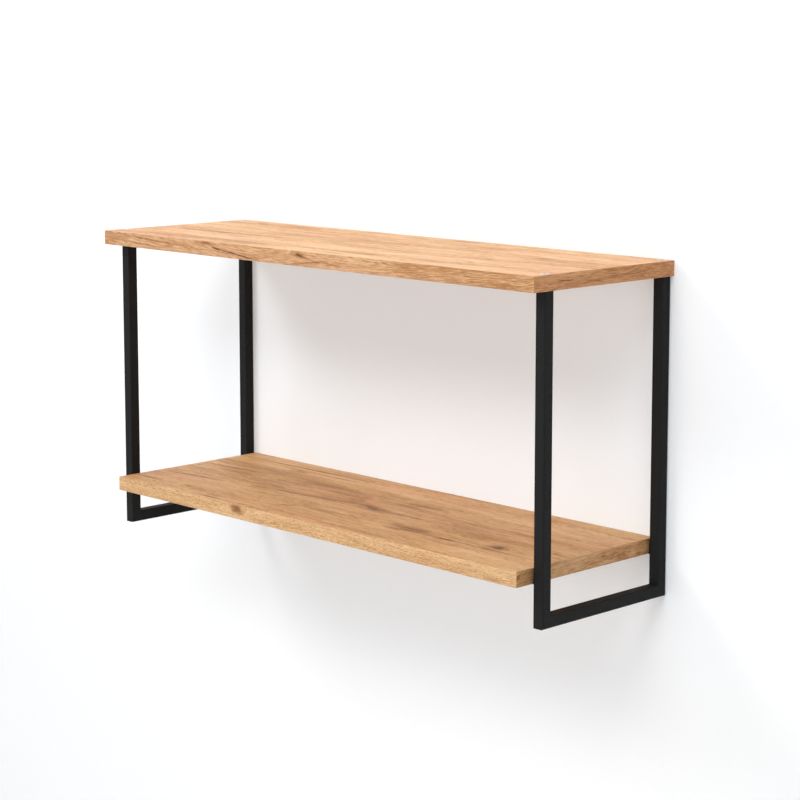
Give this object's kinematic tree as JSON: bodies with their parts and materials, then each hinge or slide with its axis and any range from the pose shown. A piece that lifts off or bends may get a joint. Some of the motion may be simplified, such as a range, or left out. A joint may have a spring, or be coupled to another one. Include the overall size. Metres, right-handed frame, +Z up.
{
  "type": "hanging wall shelf",
  "caption": "Wall-hung shelf: an upper board lies on U-shaped square-tube frames at its ends, and a lower board stands between them on hidden brackets.",
  "frame": {"origin": "on the wall plane, in the middle of the four keyhole entries in the rear uprights", "axes": "+X to the right along the boards, +Y into the wall (the front faces -Y), +Z up"},
  "size_m": [0.8, 0.25, 0.413],
  "materials": {
    "oak_decor_panel": "melamine-faced particle board with a golden oak decor, satin",
    "oak_edge_band": "oak decor edge band, satin",
    "black_powder_coat": "fine matt powder coat on steel",
    "plain_steel": "sawn steel, bare",
    "bright_zinc_plate": "bright zinc plate on steel"
  },
  "bodies": {
    "root": {"upper_board_core": "oak_decor_panel", "upper_front_band": "oak_edge_band", "upper_back_band": "oak_edge_band", "upper_left_band": "oak_edge_band", "upper_right_band": "oak_edge_band", "lower_board_core": "oak_decor_panel", "lower_front_band": "oak_edge_band", "lower_back_band": "oak_edge_band", "lower_left_band": "oak_edge_band", "lower_right_band": "oak_edge_band", "left_front_upright": "black_powder_coat", "left_rear_upright": "black_powder_coat", "left_bottom_bar": "black_powder_coat", "right_front_upright": "black_powder_coat", "right_rear_upright": "black_powder_coat", "right_bottom_bar": "black_powder_coat", "left_front_threaded_block": "plain_steel", "left_rear_threaded_block": "plain_steel", "right_front_threaded_block": "plain_steel", "right_rear_threaded_block": "plain_steel", "left_front_bolt": "bright_zinc_plate", "left_rear_bolt": "bright_zinc_plate", "right_front_bolt": "bright_zinc_plate", "right_rear_bolt": "bright_zinc_plate", "left_front_bracket": "black_powder_coat", "left_rear_bracket": "black_powder_coat", "right_front_bracket": "black_powder_coat", "right_rear_bracket": "black_powder_coat", "left_front_wood_screw": "bright_zinc_plate", "left_rear_wood_screw": "bright_zinc_plate", "right_front_wood_screw": "bright_zinc_plate", "right_rear_wood_screw": "bright_zinc_plate", "left_frame_welds": "black_powder_coat", "right_frame_welds": "black_powder_coat"}
  },
  "joints": []
}
